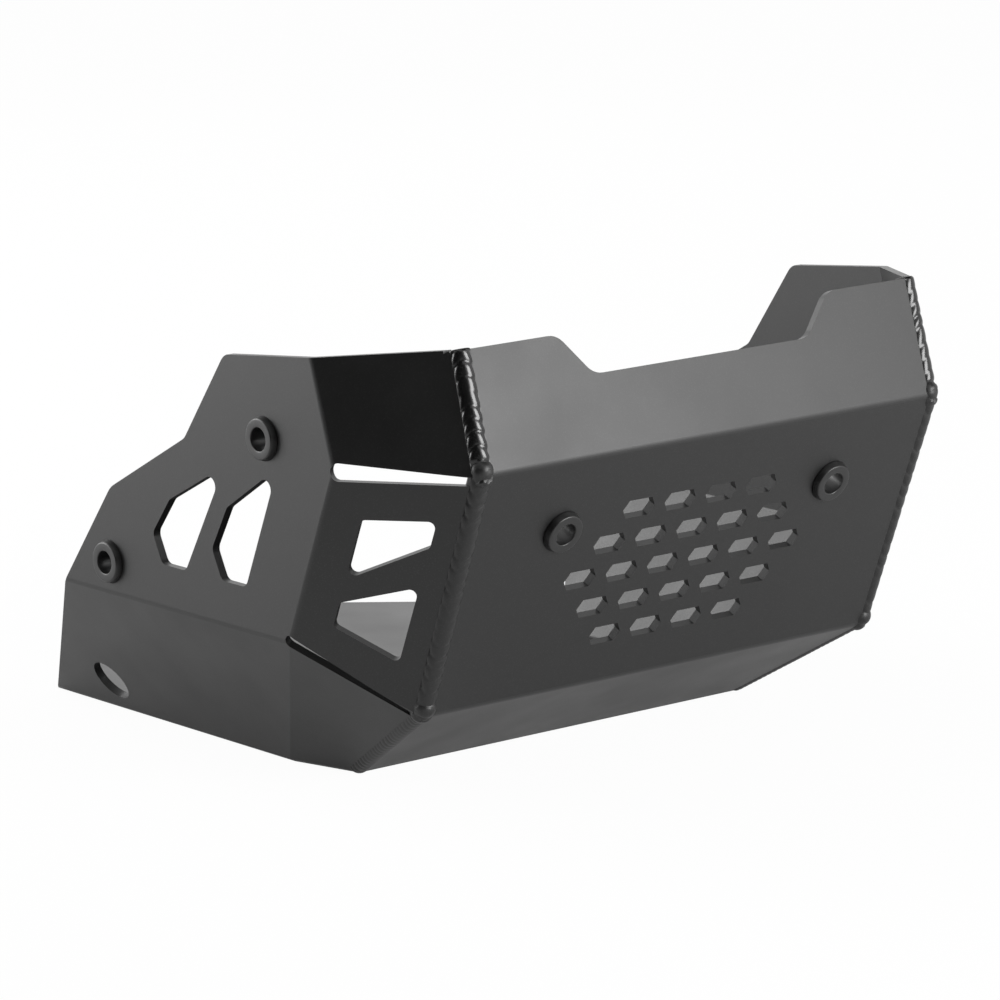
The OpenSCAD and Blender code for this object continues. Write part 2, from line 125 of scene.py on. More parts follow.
# Black cards left of the plate, at the camera and overhead, by name and corners
CARDS = (("cheek_card", [(-0.75, -1.2, 0), (-0.75, 0.12, 0),
                         (-0.75, 0.12, 1.1), (-0.75, -1.2, 1.1)]),
         ("camera_card", [(-2.6, -1.5, 0.1), (-0.45, -2.5, 0.1),
                          (-0.45, -2.5, 1.6), (-2.6, -1.5, 1.6)]),
         ("ceiling_card", [(0.0, -1.2, 1.9), (1.7, -1.2, 1.9),
                           (1.7, 0.45, 1.9), (0.0, 0.45, 1.9)]))
# The camera's place and angles, and its sensor's width in mm
CAMERA_PLACE = Vector((-1.6784, -2.0783, 0.6741))
CAMERA_YAW, CAMERA_PITCH = math.radians(39.54), math.radians(12.12)
CAMERA_ROLL = math.radians(-0.62)
SENSOR_WIDTH = 36.0


# The welded corners

def face_normal(a, b, c):
    """Unit normal of the plane through three points."""
    return (b - a).cross(c - a).normalized()


def in_frame(point):
    """A point in mm from the toe fold, as a point of the frame in metres."""
    return Vector((point.x, point.y - MIDDLE_Y, point.z)) * MM


def seams():
    """The six welded seams by name, each with its sharp corner's two ends, its panels' outward
    normals and its bead's axis. They run from the nose to the crown, from the nose to the chin
    and from the chin to the toe."""
    lean = Vector((1, 0, 0))
    front = face_normal(CHIN, NOSE, NOSE - lean)
    flange = face_normal(NOSE, CROWN, CROWN - lean)
    strip = face_normal(TOE, CHIN, CHIN - lean)
    cheek = face_normal(CHIN, CHEEK_FOOT, NOSE)
    upper_cheek = face_normal(NOSE, CHEEK_TOP, CROWN)
    lower_cheek = face_normal(CHIN, TOE, CHEEK_FOOT)
    found = []
    for name, start, end, a, b in (("upper", NOSE, CROWN, flange, upper_cheek),
                                   ("middle", NOSE, CHIN, front, cheek),
                                   ("lower", CHIN, TOE, strip, lower_cheek)):
        for side in (1, -1):
            turned = [Vector((side * v.x, v.y, v.z)) for v in (a, b)]
            ends = [in_frame(Vector((side * v.x, v.y, v.z))) for v in (start, end)]
            out = (turned[0] + turned[1]).normalized()
            axis = [v - (BEAD_R - BEAD_PROUD) * out for v in ends]
            found.append({"name": name, "corner": ends, "normals": turned, "out": out,
                          "axis": axis, "along": (axis[1] - axis[0]).normalized(),
                          "run": (axis[1] - axis[0]).length})
    return found


def on_axis(seam, point):
    """The point of a bead's axis that is nearest to a point."""
    reach = (point - seam["axis"][0]).dot(seam["along"])
    return seam["axis"][0] + seam["along"] * min(max(reach, 0.0), seam["run"])


def height(seam, point):
    """How far a point stands proud of a seam's panels. Below zero, it lies inside both."""
    return max(normal.dot(point - seam["corner"][0]) for normal in seam["normals"])


# Meshes

def new_object(name, data):
    """An object with its data, linked into the scene."""
    made = bpy.data.objects.new(name, data)
    bpy.context.scene.collection.objects.link(made)
    return made


@contextlib.contextmanager
def edited(mesh):
    """Opens a mesh for editing and writes it back."""
    work = bmesh.new()
    work.from_mesh(mesh)
    yield work
    work.to_mesh(mesh)
    work.free()


def without_slivers(work):
    """Closes up the faces that are too thin to see."""
    bmesh.ops.remove_doubles(work, verts=work.verts, dist=SAME_PLACE)
    bmesh.ops.dissolve_degenerate(work, edges=work.edges, dist=TOO_THIN)


def keep_outward(mesh, outward):
    """Stores the direction that each vertex faces, for the node trees."""
    stored = mesh.attributes.new("outward", "FLOAT_VECTOR", "POINT")
    stored.data.foreach_set("vector", [x for v in outward for x in v])


def flattened(made):
    """Turns an object's evaluated result into its own plain mesh, and takes its modifiers off."""
    graph = bpy.context.evaluated_depsgraph_get()
    mesh = bpy.data.meshes.new_from_object(made.evaluated_get(graph), depsgraph=graph)
    made.modifiers.clear()
    old, made.data = made.data, mesh
    mesh.name = made.name
    bpy.data.meshes.remove(old)


def through_nodes(made, name, tree, values):
    """Runs an object through a node tree, whose named inputs get values, and keeps the result."""
    step = made.modifiers.new(name, "NODES")
    step.node_group = tree
    for socket in tree.interface.items_tree:
        if socket.name in values:
            step[socket.identifier] = values[socket.name]
    flattened(made)


def paint(made, material):
    """Gives an object one material."""
    made.data.materials.clear()
    made.data.materials.append(material)
    for face in made.data.polygons:
        face.material_index = 0


# Node trees

def add_node(tree, kind, inputs=None, **settings):
    """Adds a node with its settings, and fills its sockets with values or with other outputs."""
    node = tree.nodes.new(kind)
    for name, value in settings.items():
        setattr(node, name, value)
    for key, value in (inputs or {}).items():
        if isinstance(value, bpy.types.NodeSocket):
            tree.links.new(value, node.inputs[key])
        else:
            node.inputs[key].default_value = value
    return node


def new_tree(name, inputs):
    """A Geometry Nodes tree with a geometry input and output and the named inputs."""
    tree = bpy.data.node_groups.new(name, "GeometryNodeTree")
    face = tree.interface
    face.new_socket("Geometry", in_out="INPUT", socket_type="NodeSocketGeometry")
    for title, kind, value in inputs:
        socket = face.new_socket(title, in_out="INPUT", socket_type="NodeSocket" + kind)
        if value is not None:
            socket.default_value = value
    face.new_socket("Geometry", in_out="OUTPUT", socket_type="NodeSocketGeometry")
    return tree, add_node(tree, "NodeGroupInput").outputs


def end_tree(tree, geometry, material):
    """Ends a tree: makes its instances real and gives them their material."""
    real = add_node(tree, "GeometryNodeRealizeInstances", {"Geometry": geometry})
    coated = add_node(tree, "GeometryNodeSetMaterial",
                      {"Geometry": real.outputs["Geometry"], "Material": material})
    add_node(tree, "NodeGroupOutput", {"Geometry": coated.outputs["Geometry"]})


# Finishes

def linear(code):
    """An sRGB hex value as an opaque linear colour."""
    values = [int(code[i:i + 2], 16) / 255 for i in (1, 3, 5)]
    return tuple(v / 12.92 if v <= 0.04045 else ((v + 0.055) / 1.055) ** 2.4
                 for v in values) + (1.0,)


def new_material(name):
    """An empty node material."""
    material = bpy.data.materials.new(name)
    material.use_nodes = True
    material.node_tree.nodes.clear()
    return material


def noise(tree, where, size, **inputs):
    """Noise whose features have a size in metres."""
    return add_node(tree, "ShaderNodeTexNoise",
                    {"Vector": where, "Scale": 1 / size, **inputs}).outputs["Fac"]


def grain(tree, where, grain_mm, peel_mm, bump_mm):
    """Bump of a sprayed or moulded skin: fine grain over the broad waves known as orange peel."""
    fine = noise(tree, where, grain_mm * MM, Detail=2.0, Roughness=0.55)
    peel = noise(tree, where, peel_mm * MM, Detail=1.0, Roughness=0.4)
    broad = add_node(tree, "ShaderNodeBump",
                     {"Height": peel, "Strength": 0.25, "Distance": 2 * bump_mm * MM})
    return add_node(tree, "ShaderNodeBump",
                    {"Height": fine, "Strength": 0.6, "Distance": bump_mm * MM,
                     "Normal": broad.outputs["Normal"]}).outputs["Normal"]


def powder_coat(settings, name, roughness):
    """Satin black polyester powder coat, baked on aluminium: dark grey, with a fine pebbled skin
    that breaks up its reflections, and pale specks in its colour, which are painted glints of
    single grains."""
    material = new_material(name)
    tree = material.node_tree
    where = add_node(tree, "ShaderNodeTexCoord").outputs["Object"]
    bump = grain(tree, where, settings.grain_mm, settings.peel_mm, settings.bump_mm)
    # Painted glints: pale specks mixed into the base colour where single grains would catch the
    # light
    glint_size, shine_varies = 1.6 * settings.grain_mm * MM, 0.03
    glint_specks = add_node(tree, "ShaderNodeTexVoronoi",
                      {"Vector": where, "Scale": 1 / glint_size, "Randomness": 1.0})
    painted_glints = add_node(tree, "ShaderNodeMapRange",
                   {"Value": glint_specks.outputs["Distance"], "From Min": 0.05, "From Max": 0.35,
                    "To Min": 1.0, "To Max": 0.0})
    tone = add_node(tree, "ShaderNodeMix", {"A": linear("#141414"), "B": linear("#242424")},
                    data_type="RGBA")
    tree.links.new(painted_glints.outputs["Result"], tone.inputs["Factor"])
    shine = add_node(tree, "ShaderNodeMapRange",
                     {"Value": noise(tree, where, 40 * MM, Detail=2.0),
                      "From Min": 0.3, "From Max": 0.7,
                      "To Min": roughness - shine_varies, "To Max": roughness + shine_varies})
    skin = add_node(tree, "ShaderNodeBsdfPrincipled",
                    {"Base Color": tone.outputs["Result"], "Roughness": shine.outputs["Result"],
                     "IOR": 1.5, "Metallic": 0.0, "Normal": bump})
    add_node(tree, "ShaderNodeOutputMaterial", {"Surface": skin.outputs["BSDF"]})
    return material


def moulded_rubber(settings):
    """EPDM rubber from a polished mould: near black, with a soft sheen and almost no texture."""
    material = new_material("epdm_rubber_moulded")
    tree = material.node_tree
    where = add_node(tree, "ShaderNodeTexCoord").outputs["Object"]
    bump = grain(tree, where, grain_mm=0.5, peel_mm=3.0, bump_mm=0.01)
    tone = add_node(tree, "ShaderNodeMix", {"A": linear("#141414"), "B": linear("#1b1b1b")},
                    data_type="RGBA")
    tree.links.new(noise(tree, where, 6 * MM, Detail=3.0), tone.inputs["Factor"])
    skin = add_node(tree, "ShaderNodeBsdfPrincipled",
                    {"Base Color": tone.outputs["Result"], "Roughness": settings.rubber_roughness,
                     "IOR": 1.52, "Normal": bump})
    add_node(tree, "ShaderNodeOutputMaterial", {"Surface": skin.outputs["BSDF"]})
    return material


# Settings

class SKIDPLATE_PG_finish(bpy.types.PropertyGroup):
    """Finish of the coat and of the rubber"""
    coat_roughness: bpy.props.FloatProperty(
        name="Coat roughness", description="Roughness of the powder coat",
        default=0.42, min=0.1, max=0.9)
    weld_roughness: bpy.props.FloatProperty(
        name="Weld roughness", description="Roughness of the coat where it has flowed over a bead",
        default=0.22, min=0.05, max=0.9)
    low_weld_roughness: bpy.props.FloatProperty(
        name="Low weld roughness",
        description="Roughness of the coat over the middle and the lower beads",
        default=0.46, min=0.05, max=0.9)
    rubber_roughness: bpy.props.FloatProperty(
        name="Rubber roughness", description="Roughness of the grommets",
        default=0.38, min=0.1, max=0.9)
    grain_mm: bpy.props.FloatProperty(
        name="Grain", description="Width of a grain of the coat, in millimetres",
        default=0.7, min=0.2, max=3)
    peel_mm: bpy.props.FloatProperty(
        name="Orange peel", description="Width of the coat's broad waves, in millimetres",
        default=5.0, min=1, max=20)
    bump_mm: bpy.props.FloatProperty(
        name="Grain height", description="Height of the coat's grain, in millimetres",
        default=0.036, min=0, max=0.2)


class SKIDPLATE_PG_shape(bpy.types.PropertyGroup):
    """Sizes of the softened edges and of the weld ripples"""
    edge: bpy.props.FloatProperty(
        name="Edge softening", description="Width that the coat rounds off the sheet's cut edges",
        default=0.45 * MM, min=0.1 * MM, max=1.2 * MM,
        subtype="DISTANCE", unit="LENGTH", precision=5)
    bead_core: bpy.props.FloatProperty(
        name="Bead core",
        description="Radius of the plain bead under its ripples, as a share of the crests'",
        default=0.88, min=0.6, max=0.99)
    ripple: bpy.props.FloatProperty(
        name="Ripple pitch", description="Spacing of the upper and the middle welds' ripples",
        default=6.6 * MM, min=2 * MM, max=12 * MM,
        subtype="DISTANCE", unit="LENGTH", precision=5)
    fine_ripple: bpy.props.FloatProperty(
        name="Fine ripple pitch", description="Spacing of the lower welds' ripples",
        default=3.3 * MM, min=1.5 * MM, max=8 * MM,
        subtype="DISTANCE", unit="LENGTH", precision=5)
    ripple_depth: bpy.props.FloatProperty(
        name="Ripple depth",
        description="Depth of the upper welds' ripples. The other welds' are shallower",
        default=0.55 * MM, min=0.05 * MM, max=1 * MM,
        subtype="DISTANCE", unit="LENGTH", precision=5)
    seed: bpy.props.IntProperty(
        name="Seed", description="Seed of the ripples' unevenness", default=7, min=0)


class SKIDPLATE_PG_stage(bpy.types.PropertyGroup):
    """Strength of the lights, and the camera's lens"""
    world: bpy.props.FloatProperty(
        name="World light", description="Strength of the even light from all round",
        default=0.55, min=0, max=3)
    key: bpy.props.FloatProperty(
        name="Front light", description="Power of the soft light before the flange",
        default=49.0, min=0, unit="POWER")
    side: bpy.props.FloatProperty(
        name="Side light", description="Power of the soft light behind the left side",
        default=31.0, min=0, unit="POWER")
    rear: bpy.props.FloatProperty(
        name="Rear light", description="Power of the soft light above the left of the rear",
        default=18.0, min=0, unit="POWER")
    far: bpy.props.FloatProperty(
        name="Far light", description="Power of the soft light behind the right side",
        default=2.4, min=0, unit="POWER")
    lens: bpy.props.FloatProperty(
        name="Lens", description="Focal length of the camera, in millimetres",
        default=200.4, min=20, max=400)


# Operators

class SKIDPLATE_OT_plate(bpy.types.Operator):
    """Replaces the CAD plate by a copy with softened edges and its powder coat"""
    bl_idname = "skidplate.plate"
    bl_label = "Folded plate"

    def execute(self, context):
        shape, finish = context.scene.skidplate_shape, context.scene.skidplate_finish
        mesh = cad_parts["skid_plate"].data.copy()
        with edited(mesh) as work:
            bmesh.ops.remove_doubles(work, verts=work.verts, dist=SAME_PLACE)
            self.draw_in_beads(work, shape.bead_core)
        plate = new_object("plate", mesh)
        bevel = plate.modifiers.new("edges", "BEVEL")
        bevel.width, bevel.segments = shape.edge, 2
        bevel.limit_method, bevel.angle_limit = "ANGLE", ROUNDED_ANGLE
        bevel.use_clamp_overlap = True
        bevel.miter_outer = "MITER_ARC"
        flattened(plate)
        self.merge_flats(plate.data)
        self.shade(plate.data)
        paint(plate, powder_coat(finish, "satin_black_powder_coat", finish.coat_roughness))
        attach(plate, "root")
        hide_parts("skid_plate")
        return {"FINISHED"}

    @staticmethod
    def draw_in_beads(work, core):
        """Draws the plain beads in towards their axes, which leaves room for the ripples. Where
        a bead meets a panel, it stays, so that the panel stays flat."""
        low, high = (share * BEAD_R for share in ON_ROUND)
        for seam in seams():
            for vert in work.verts:
                centre = on_axis(seam, vert.co)
                arm = vert.co - centre
                if low < arm.length < high and height(seam, vert.co) > OFF_PANEL:
                    vert.co = centre + arm * core

    @staticmethod
    def merge_flats(mesh):
        """Makes each flat panel a few large faces, so that it shades flat up to its edges."""
        with edited(mesh) as work:
            without_slivers(work)
            bmesh.ops.dissolve_limit(work, angle_limit=FLAT_ANGLE, verts=work.verts,
                                     edges=work.edges)
            for face in work.faces:
                face.smooth = True

    @staticmethod
    def shade(mesh):
        """Shades each panel flat, and lets the rounded edges beside it blend into it."""
        around = [[] for _ in mesh.vertices]
        for face in mesh.polygons:
            for vert in face.vertices:
                around[vert].append(face.index)
        areas = [face.area for face in mesh.polygons]
        normals = [face.normal.copy() for face in mesh.polygons]
        corners = []
        for face in mesh.polygons:
            own = normals[face.index]
            for vert in face.vertices:
                if areas[face.index] > PANEL_AREA:
                    corners.append(own)
                    continue
                near = [i for i in around[vert] if normals[i].dot(own) > ONE_SURFACE]
                widest = max(near, key=areas.__getitem__)
                if areas[widest] > PANEL_AREA:
                    corners.append(normals[widest])
                else:
                    mean = sum((normals[i] * areas[i] for i in near), Vector())
                    corners.append(mean.normalized())
        mesh.normals_split_custom_set(corners)


class SKIDPLATE_OT_welds(bpy.types.Operator):
    """Lays a rippled skin along the six welds with Geometry Nodes"""
    bl_idname = "skidplate.welds"
    bl_label = "Weld ripples"

    def execute(self, context):
        shape, finish = context.scene.skidplate_shape, context.scene.skidplate_finish
        glossy = powder_coat(finish, "powder_coat_over_weld", finish.weld_roughness)
        dull = powder_coat(finish, "powder_coat_over_low_weld", finish.low_weld_roughness)
        # Name, coat, pitch and depth of the ripples, and in mm, how far they trail at the
        # bead's sides and the rings' spacing
        kinds = (("upper", glossy, shape.ripple, shape.ripple_depth, 6.5, 0.4),
                 ("middle", dull, shape.ripple, 0.9 * shape.ripple_depth, 6.0, 0.45),
                 ("lower", dull, shape.fine_ripple, 0.35 * shape.ripple_depth, 3.0, 0.3))
        for name, coat, pitch, depth, trail, step in kinds:
            made = new_object("weld_" + name, self.seam_lines(name))
            through_nodes(made, "ripples", self.ripple_tree("ripples_" + name, coat),
                          {"Pitch": pitch, "Crest Radius": BEAD_R, "Depth": depth,
                           "Trail": trail * MM, "Ring Spacing": step * MM,
                           "Flat End": float(name == "upper"), "Seed": shape.seed})
            self.keep_on_corner(made.data)
            paint(made, coat)
            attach(made, "root")
        return {"FINISHED"}

    @staticmethod
    def seam_lines(name):
        """One edge along each of a pair of beads, round ends included, with the direction that
        the bead faces."""
        points, edges, outward = [], [], []
        for seam in seams():
            if seam["name"] != name:
                continue
            start, end = seam["axis"]
            if name == "upper":
                start = start + seam["along"] * UPPER_START * BEAD_R
                end = end + seam["along"] * UPPER_END * MM
            else:
                if name == "lower":
                    end = start + (end - start) * (start.z - BEAD_R) / (start.z - end.z)
                end = end + seam["along"] * BEAD_R
            start = start - seam["along"] * BEAD_R
            edges.append((len(points), len(points) + 1))
            points += [start, end]
            outward += [seam["out"]] * 2
        mesh = bpy.data.meshes.new("seam_lines")
        mesh.from_pydata(points, edges, [])
        keep_outward(mesh, outward)
        return mesh

    @staticmethod
    def ripple_tree(name, coat):
        """A tube along each edge, whose radius follows the ripples and closes in at the ends."""
        tree, given = new_tree(name, (
            ("Pitch", "Float", 0.006), ("Crest Radius", "Float", 0.005),
            ("Depth", "Float", 0.0005), ("Trail", "Float", 0.005),
            ("Ring Spacing", "Float", 0.0004), ("Flat End", "Float", 0.0), ("Seed", "Int", 7)))

        def work(operation, *values):
            return add_node(tree, "ShaderNodeMath", dict(enumerate(values)),
                            operation=operation).outputs["Value"]

        def vectors(operation, result, *values):
            return add_node(tree, "ShaderNodeVectorMath", dict(enumerate(values)),
                            operation=operation).outputs[result]

        def kept(geometry, title, value, kind):
            return add_node(tree, "GeometryNodeStoreNamedAttribute",
                            {"Geometry": geometry, "Name": title, "Value": value},
                            data_type=kind, domain="POINT").outputs["Geometry"]

        def found(title, kind):
            return add_node(tree, "GeometryNodeInputNamedAttribute", {"Name": title},
                            data_type=kind).outputs["Attribute"]

        # The tube's rings, each with its middle and its distances from both ends
        line = add_node(tree, "GeometryNodeMeshToCurve", {"Mesh": given["Geometry"]})
        rings = add_node(tree, "GeometryNodeResampleCurve",
                         {"Curve": line.outputs["Curve"], "Length": given["Ring Spacing"]},
                         mode="LENGTH")
        span = add_node(tree, "GeometryNodeSplineLength").outputs["Length"]
        reach = add_node(tree, "GeometryNodeSplineParameter").outputs["Length"]
        place = add_node(tree, "GeometryNodeInputPosition").outputs["Position"]
        curve = kept(rings.outputs["Curve"], "middle", place, "FLOAT_VECTOR")
        curve = kept(curve, "reach", reach, "FLOAT")
        curve = kept(curve, "left", work("SUBTRACT", span, reach), "FLOAT")
        circle = add_node(tree, "GeometryNodeCurvePrimitiveCircle",
                          {"Resolution": TUBE_POINTS, "Radius": given["Crest Radius"]})
        tube = add_node(tree, "GeometryNodeCurveToMesh",
                        {"Curve": curve, "Profile Curve": circle.outputs["Curve"],
                         "Fill Caps": True})
        middle, reach = found("middle", "FLOAT_VECTOR"), found("reach", "FLOAT")

        # Angle from the side that the bead shows, as a share of a right angle
        arm = vectors("NORMALIZE", "Vector", vectors("SUBTRACT", "Vector", place, middle))
        facing = vectors("DOT_PRODUCT", "Value", arm, found("outward", "FLOAT_VECTOR"))
        facing = work("MINIMUM", work("MAXIMUM", facing, -1.0), 1.0)
        angle = work("DIVIDE", work("ARCCOSINE", facing), math.pi / 2)

        # Ripples that trail back at the bead's sides, unevenly spaced and unevenly deep
        shift = vectors("ADD", "Vector", middle, given["Seed"])
        wander = noise(tree, shift, WANDER_SIZE, Detail=1.0)
        swell = noise(tree, shift, SWELL_SIZE, Detail=0.0)
        trail = work("MULTIPLY", given["Trail"], work("POWER", angle, TRAIL_POWER))
        turns = work("ADD", work("DIVIDE", work("ADD", reach, trail), given["Pitch"]),
                     work("MULTIPLY", wander, WANDER))
        crest = work("SUBTRACT", work("MULTIPLY", work("FRACT", turns), 2.0), 1.0)
        dip = work("MULTIPLY", work("POWER", work("ABSOLUTE", crest), DIP_POWER), given["Depth"])
        dip = work("MULTIPLY", dip, work("MULTIPLY_ADD", swell, *SWELL_DEPTH))
        dip = work("MULTIPLY", dip,
                   work("MULTIPLY_ADD", work("MINIMUM", angle, 1.0), *SIDE_DEPTH))
        radius = work("SUBTRACT", given["Crest Radius"], dip)

        def closing(distance, curl):
            """What an end that is rounded with a radius takes off at a distance from it."""
            gap = work("MAXIMUM", work("SUBTRACT", curl, distance), 0.0)
            rest = work("SUBTRACT", work("MULTIPLY", curl, curl), work("MULTIPLY", gap, gap))
            return work("SUBTRACT", curl, work("SQRT", work("MAXIMUM", rest, 0.0)))

        # Round ends. The upper beads' last end, at the crown, is almost flat.
        near = closing(reach, given["Crest Radius"])
        curl = work("MULTIPLY_ADD", given["Flat End"],
                    work("SUBTRACT", UPPER_CURL, given["Crest Radius"]), given["Crest Radius"])
        far = closing(found("left", "FLOAT"), curl)
        radius = work("MAXIMUM", work("SUBTRACT", work("SUBTRACT", radius, near), far), LEAST_R)
        shaped = add_node(tree, "GeometryNodeSetPosition",
                          {"Geometry": tube.outputs["Mesh"],
                           "Position": vectors("MULTIPLY_ADD", "Vector", arm, radius, middle)})
        smooth = add_node(tree, "GeometryNodeSetShadeSmooth",
                          {"Geometry": shaped.outputs["Geometry"]})
        end_tree(tree, smooth.outputs["Geometry"], coat)
        return tree

    @staticmethod
    def keep_on_corner(mesh):
        """Keeps the ripples inside the beads' round, inside the CAD model's box, and out of the
        tub, where the inner corners are clean."""
        sides = seams()
        deepest = BACKING - SHEET
        for vert in mesh.vertices:
            seam = min(sides, key=lambda one: (vert.co - on_axis(one, vert.co)).length)
            arm = vert.co - on_axis(seam, vert.co)
            if arm.length > BEAD_R and seam["name"] != "upper":
                vert.co = vert.co - arm * (1 - BEAD_R / arm.length)
            high = height(seam, vert.co)
            if high < deepest:
                vert.co += seam["out"] * (deepest - high) / seam["normals"][0].dot(seam["out"])
            for i in range(3):
                vert.co[i] = min(max(vert.co[i], CAD_BOX[0][i] + BOX_GAP), CAD_BOX[1][i] - BOX_GAP)
        with edited(mesh) as work:
            without_slivers(work)


class SKIDPLATE_OT_grommets(bpy.types.Operator):
    """Sets the six rubber grommets into their holes with Geometry Nodes"""
    bl_idname = "skidplate.grommets"
    bl_label = "Rubber grommets"

    def execute(self, context):
        places, outward = [], []
        front = face_normal(CHIN, NOSE, NOSE - Vector((1, 0, 0)))
        sheet_face = -(GROMMET_BACK + GROMMET_FRONT) / 2
        for name in GROMMETS:
            low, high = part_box(name)
            middle = (low + high) / 2
            axis = front if "front" in name else Vector((math.copysign(1, middle.x), 0, 0))
            places.append(middle + axis * sheet_face * MM)
            outward.append(axis)
        mesh = bpy.data.meshes.new("grommet_places")
        mesh.from_pydata(places, [], [])
        keep_outward(mesh, outward)
        pattern = new_object("grommet_pattern", self.turned())
        made = new_object("grommets", mesh)
        rubber = moulded_rubber(context.scene.skidplate_finish)
        through_nodes(made, "grommets", self.place_tree(rubber), {"Pattern": pattern})
        bpy.data.objects.remove(pattern)
        paint(made, rubber)
        for face in made.data.polygons:
            face.use_smooth = True
        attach(made, "root")
        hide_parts(*GROMMETS)
        return {"FINISHED"}

    @staticmethod
    def turned():
        """One grommet: its section spun about Z, with Z = 0 on the sheet's outer face."""
        # Radii in mm: bore, neck in the sheet's hole, rear flange, front flange and its face
        bore, neck, back_r, front_r, face_r = 5.5, 7.4, 9.75, 10.5, 9.7
        # Rounds in mm: bore's ends, rear flange's back, both flanges at the sheet, front's face
        bore_round, back_round, sheet_round, face_round = 0.5, 1.0, 0.3, 0.7
        back, front, sheet = GROMMET_BACK, GROMMET_FRONT, -SHEET / MM
        section = []

        def arc(x, z, r, start, end):
            for i in range(ARC_STEPS + 1):
                t = math.radians(start + (end - start) * i / ARC_STEPS)
                section.append((x + r * math.cos(t), z + r * math.sin(t)))
        arc(bore + bore_round, back + bore_round, bore_round, 180, 270)
        arc(back_r - back_round, back + back_round, back_round, 270, 360)
        arc(back_r - sheet_round, sheet - sheet_round, sheet_round, 0, 90)
        section += [(neck, sheet), (neck, 0.0)]
        arc(front_r - sheet_round, sheet_round, sheet_round, 270, 360)
        arc(face_r - face_round, front - face_round, face_round, 10, 90)
        arc(bore + bore_round, front - bore_round, bore_round, 90, 180)
        turns = [2 * math.pi * i / TURN_STEPS for i in range(TURN_STEPS)]
        points = [(x * math.cos(t) * MM, x * math.sin(t) * MM, z * MM)
                  for t in turns for x, z in section]
        count = len(section)
        faces = []
        for i in range(TURN_STEPS):
            this, following = i * count, (i + 1) % TURN_STEPS * count
            for j in range(count):
                k = (j + 1) % count
                faces.append((this + j, following + j, following + k, this + k))
        mesh = bpy.data.meshes.new("grommet_pattern")
        mesh.from_pydata(points, [], faces)
        with edited(mesh) as work:
            bmesh.ops.recalc_face_normals(work, faces=work.faces)
        return mesh

    @staticmethod
    def place_tree(rubber):
        """The pattern on each point, with its Z along the point's outward direction."""
        tree, given = new_tree("grommets", (("Pattern", "Object", None),))
        outward = add_node(tree, "GeometryNodeInputNamedAttribute", {"Name": "outward"},
                           data_type="FLOAT_VECTOR")
        facing = add_node(tree, "FunctionNodeAlignRotationToVector",
                          {"Vector": outward.outputs["Attribute"]}, axis="Z")
        pattern = add_node(tree, "GeometryNodeObjectInfo", {"Object": given["Pattern"]})
        put = add_node(tree, "GeometryNodeInstanceOnPoints",
                       {"Points": given["Geometry"], "Instance": pattern.outputs["Geometry"],
                        "Rotation": facing.outputs["Rotation"]})
        end_tree(tree, put.outputs["Instances"], rubber)
        return tree


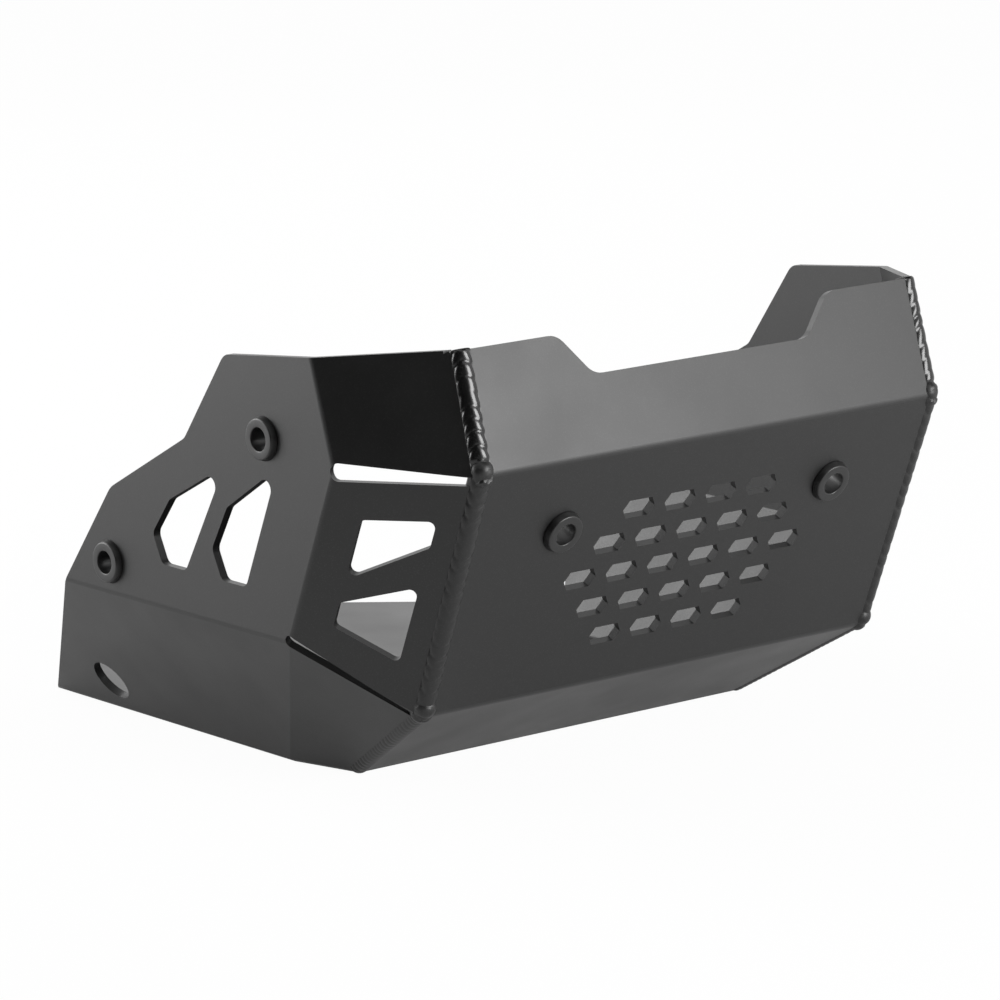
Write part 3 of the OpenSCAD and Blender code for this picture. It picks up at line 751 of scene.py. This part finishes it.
class SKIDPLATE_OT_stage(bpy.types.Operator):
    """Makes the pale floor, the soft lights and the camera"""
    bl_idname = "skidplate.stage"
    bl_label = "Stage"

    def execute(self, context):
        stage = context.scene.skidplate_stage
        mesh = bpy.data.meshes.new("floor")
        mesh.from_pydata([(x * FLOOR_HALF, y * FLOOR_HALF, FLOOR_Z)
                          for x, y in ((-1, -1), (1, -1), (1, 1), (-1, 1))], [], [(0, 1, 2, 3)])
        floor = new_object("floor", mesh)
        floor.data.materials.append(self.white_floor())
        self.light_world(context.scene, stage.world)
        for name, place, width, tall, power in LIGHTS:
            self.soft_light(name, place, width, tall, getattr(stage, power))
        black = self.black_flock()
        for name, corners in CARDS:
            self.dark_card(name, corners, black)
        self.set_camera(context.scene, stage.lens)
        context.scene.view_settings.view_transform = "Standard"
        return {"FINISHED"}

    @staticmethod
    def share_seen(tree, camera, mirror):
        """How much of the plain white shows: to the camera and through clear things, and in
        mirrored rays."""
        path = add_node(tree, "ShaderNodeLightPath").outputs
        through = add_node(tree, "ShaderNodeMath",
                           {0: path["Is Camera Ray"], 1: path["Is Transmission Ray"]},
                           operation="ADD", use_clamp=True)
        direct = add_node(tree, "ShaderNodeMath", {0: through.outputs["Value"], 1: camera},
                          operation="MULTIPLY")
        return add_node(tree, "ShaderNodeMath",
                        {0: path["Is Glossy Ray"], 1: mirror, 2: direct.outputs["Value"]},
                        operation="MULTIPLY_ADD", use_clamp=True).outputs["Value"]

    def white_floor(self):
        """Matt white board, which shows as the white background and keeps a faint shadow."""
        material = new_material("matt_white_board")
        tree = material.node_tree
        board = add_node(tree, "ShaderNodeBsdfDiffuse", {"Color": linear("#f4f4f4")})
        white = add_node(tree, "ShaderNodeEmission", {"Color": WHITE, "Strength": 1.0})
        both = add_node(tree, "ShaderNodeMixShader",
                        {0: self.share_seen(tree, *FLOOR_WHITE),
                         1: board.outputs["BSDF"], 2: white.outputs["Emission"]})
        add_node(tree, "ShaderNodeOutputMaterial", {"Surface": both.outputs["Shader"]})
        return material

    def light_world(self, scene, strength):
        """Soft light from all round, which shows as plain white."""
        world = bpy.data.worlds.new("soft_world")
        scene.world = world
        world.use_nodes = True
        tree = world.node_tree
        tree.nodes.clear()
        soft, white = (add_node(tree, "ShaderNodeBackground",
                                {"Color": WHITE, "Strength": power}).outputs["Background"]
                       for power in (strength, 1.0))
        both = add_node(tree, "ShaderNodeMixShader",
                        {0: self.share_seen(tree, *WORLD_WHITE), 1: soft, 2: white})
        add_node(tree, "ShaderNodeOutputWorld", {"Surface": both.outputs["Shader"]})

    @staticmethod
    def soft_light(name, place, width, tall, power):
        """A wide lamp that faces the plate and stays out of the camera's sight."""
        data = bpy.data.lights.new(name, "AREA")
        data.shape, data.size, data.size_y, data.energy = "RECTANGLE", width, tall, power
        made = new_object(name, data)
        made.location = place
        ahead = LIGHTS_AIM - Vector(place)
        made.rotation_euler = ahead.to_track_quat("-Z", "Y").to_euler()
        made.visible_camera = False

    @staticmethod
    def black_flock():
        """Flocked black card, which mirrors nothing."""
        material = new_material("black_flock")
        tree = material.node_tree
        flock = add_node(tree, "ShaderNodeBsdfDiffuse", {"Color": linear("#0a0a0a")})
        add_node(tree, "ShaderNodeOutputMaterial", {"Surface": flock.outputs["BSDF"]})
        return material

    @staticmethod
    def dark_card(name, corners, black):
        """Black card out of the camera's sight, which keeps what mirrors it dark."""
        mesh = bpy.data.meshes.new(name)
        mesh.from_pydata(corners, [], [(0, 1, 2, 3)])
        mesh.materials.append(black)
        card = new_object(name, mesh)
        card.visible_camera = False

    @staticmethod
    def set_camera(scene, lens):
        """The photograph's view: from the left of the front, a little above."""
        ahead = Vector((math.sin(CAMERA_YAW) * math.cos(CAMERA_PITCH),
                        math.cos(CAMERA_YAW) * math.cos(CAMERA_PITCH), -math.sin(CAMERA_PITCH)))
        right = ahead.cross(Vector((0, 0, 1))).normalized()
        up = right.cross(ahead)
        right, up = (math.cos(CAMERA_ROLL) * right + math.sin(CAMERA_ROLL) * up,
                     math.cos(CAMERA_ROLL) * up - math.sin(CAMERA_ROLL) * right)
        data = bpy.data.cameras.new("camera")
        data.lens, data.sensor_width = lens, SENSOR_WIDTH
        data.clip_start, data.clip_end = 0.1, 100.0
        camera = new_object("camera", data)
        turn = Matrix((right, up, -ahead)).transposed().to_4x4()
        camera.matrix_world = Matrix.Translation(CAMERA_PLACE) @ turn
        scene.camera = camera


class SKIDPLATE_PT_panel(bpy.types.Panel):
    """Lists the pieces of the skid plate and their settings"""
    bl_label = "Skid Plate"
    bl_idname = "SKIDPLATE_PT_panel"
    bl_space_type = "VIEW_3D"
    bl_region_type = "UI"
    bl_category = "Skid Plate"

    def draw(self, context):
        for step in OPERATORS:
            self.layout.operator(step.bl_idname)
        for group in GROUPS:
            settings = getattr(context.scene, group)
            box = self.layout.box()
            for name in settings.__annotations__:
                box.prop(settings, name)


OPERATORS = [SKIDPLATE_OT_plate, SKIDPLATE_OT_welds, SKIDPLATE_OT_grommets, SKIDPLATE_OT_stage]
GROUPS = {"skidplate_shape": SKIDPLATE_PG_shape, "skidplate_finish": SKIDPLATE_PG_finish,
          "skidplate_stage": SKIDPLATE_PG_stage}


def register():
    for kind in [*GROUPS.values(), *OPERATORS, SKIDPLATE_PT_panel]:
        bpy.utils.register_class(kind)
    for name, kind in GROUPS.items():
        setattr(bpy.types.Scene, name, bpy.props.PointerProperty(type=kind))


def unregister():
    for name in GROUPS:
        delattr(bpy.types.Scene, name)
    for kind in [SKIDPLATE_PT_panel, *reversed(OPERATORS), *GROUPS.values()]:
        bpy.utils.unregister_class(kind)


def main():
    register()
    bpy.ops.skidplate.plate()
    bpy.ops.skidplate.welds()
    bpy.ops.skidplate.grommets()
    bpy.ops.skidplate.stage()


if __name__ == "__main__":
    main()
